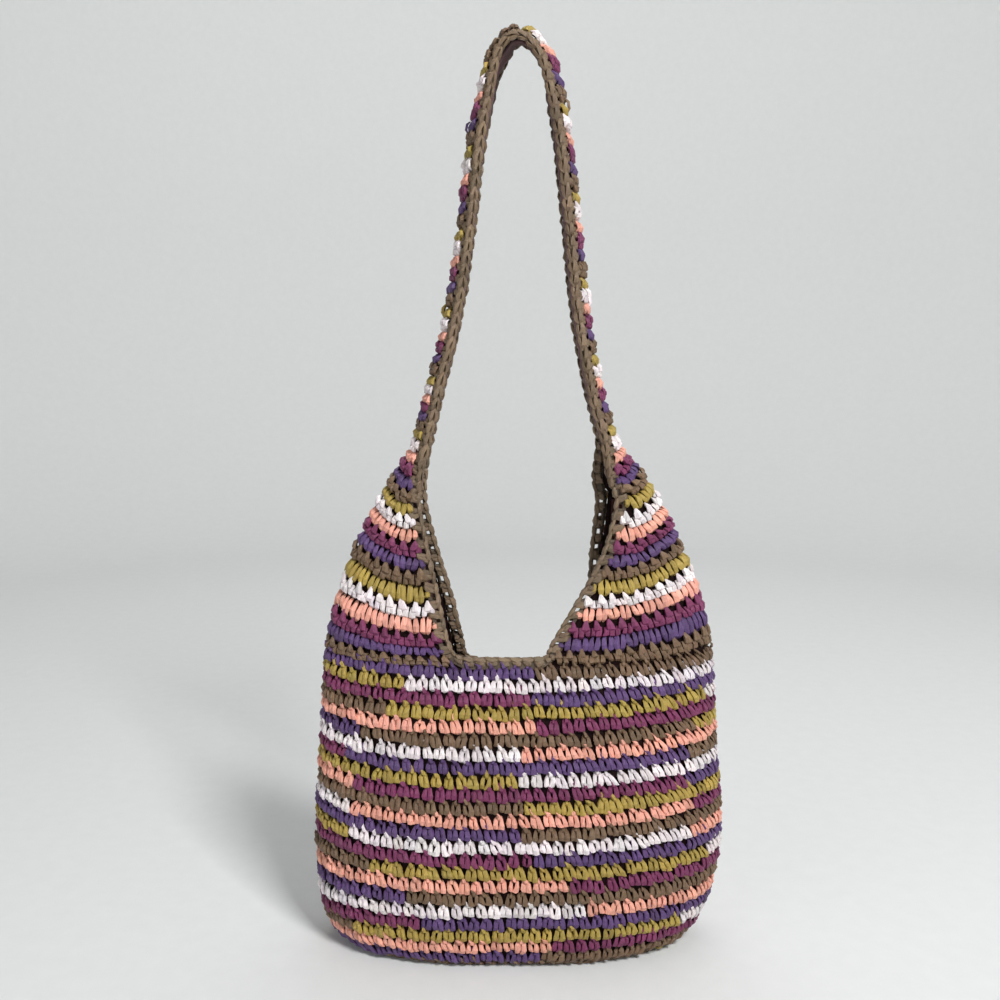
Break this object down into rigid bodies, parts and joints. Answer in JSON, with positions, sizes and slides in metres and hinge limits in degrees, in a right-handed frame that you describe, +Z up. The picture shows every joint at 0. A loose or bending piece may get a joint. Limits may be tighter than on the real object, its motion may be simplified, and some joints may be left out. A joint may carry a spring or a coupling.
{
  "type": "crochet shoulder bag",
  "caption": "Slouchy crochet shoulder bag: rounded pouch in striped raffia, scooped neckline, two side ears running into one tall loop strap, cloth lining.",
  "frame": {"origin": "middle of the bag's outline seen from above, on the surface the base stands on", "axes": "+Z up along the strap, +X to the right seen from the front, -Y towards the front of the picture"},
  "size_m": [0.3305, 0.12, 0.7192],
  "materials": {
    "raffia_mixed": "matte creased paper raffia, worked in six colours",
    "raffia_taupe": "matte creased paper raffia",
    "lining_cloth": "plain woven cloth, matte"
  },
  "bodies": {
    "root": {"body": "raffia_mixed", "ear_left": "raffia_mixed", "ear_right": "raffia_mixed", "strap_left": "raffia_mixed", "strap_right": "raffia_mixed", "edging_front": "raffia_taupe", "edging_back": "raffia_taupe", "lining_pouch": "lining_cloth", "lining_strap": "lining_cloth"}
  },
  "joints": []
}
